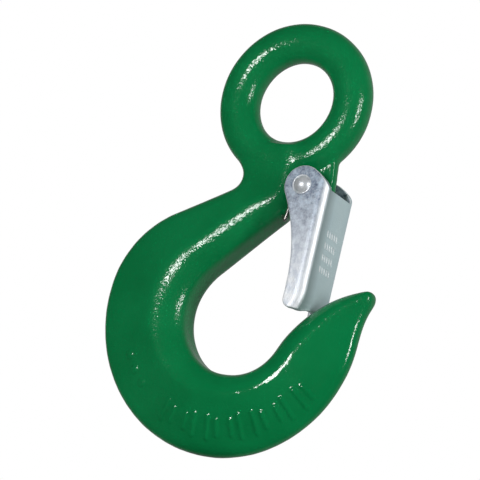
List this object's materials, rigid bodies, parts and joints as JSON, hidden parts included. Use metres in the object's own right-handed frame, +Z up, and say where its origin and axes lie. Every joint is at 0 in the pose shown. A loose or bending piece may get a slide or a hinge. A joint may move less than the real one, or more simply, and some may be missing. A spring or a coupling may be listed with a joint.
{
  "type": "eye hook with latch",
  "caption": "Forged lifting hook with a round eye, a teardrop-section bowl and a spring-closed sheet-steel safety latch across its throat.",
  "frame": {"origin": "bearing point of the eye: the middle of its top inside, where the hook hangs, on the mid-plane of the forging; the centre of the eye is 12.5 mm below it", "axes": "+Z up along the load line, +X across the throat towards the point of the hook, Y through the thickness"},
  "size_m": [0.0866, 0.0234, 0.1347],
  "materials": {
    "green_enamel": "thick gloss green enamel over forged steel, with a slight orange peel",
    "zinc_sheet": "bright zinc-plated pressed sheet, mottled on the ears",
    "rivet_steel": "polished domed rivet head, zinc plated",
    "spring_wire": "drawn spring steel wire"
  },
  "bodies": {
    "hook": {"hook_body": "green_enamel", "latch_spring": "spring_wire"},
    "latch": {"latch": "zinc_sheet", "pivot_pin": "rivet_steel"}
  },
  "joints": [
    {"name": "latch_swing", "type": "hinge", "parent": "hook", "child": "latch", "pos_m": [0.0144, 0, -0.03933], "axis": [0, 1, 0], "range_deg": [0, 50], "stiffness_Nm_per_rad": 0.05, "deforming": ["latch_spring"]}
  ]
}
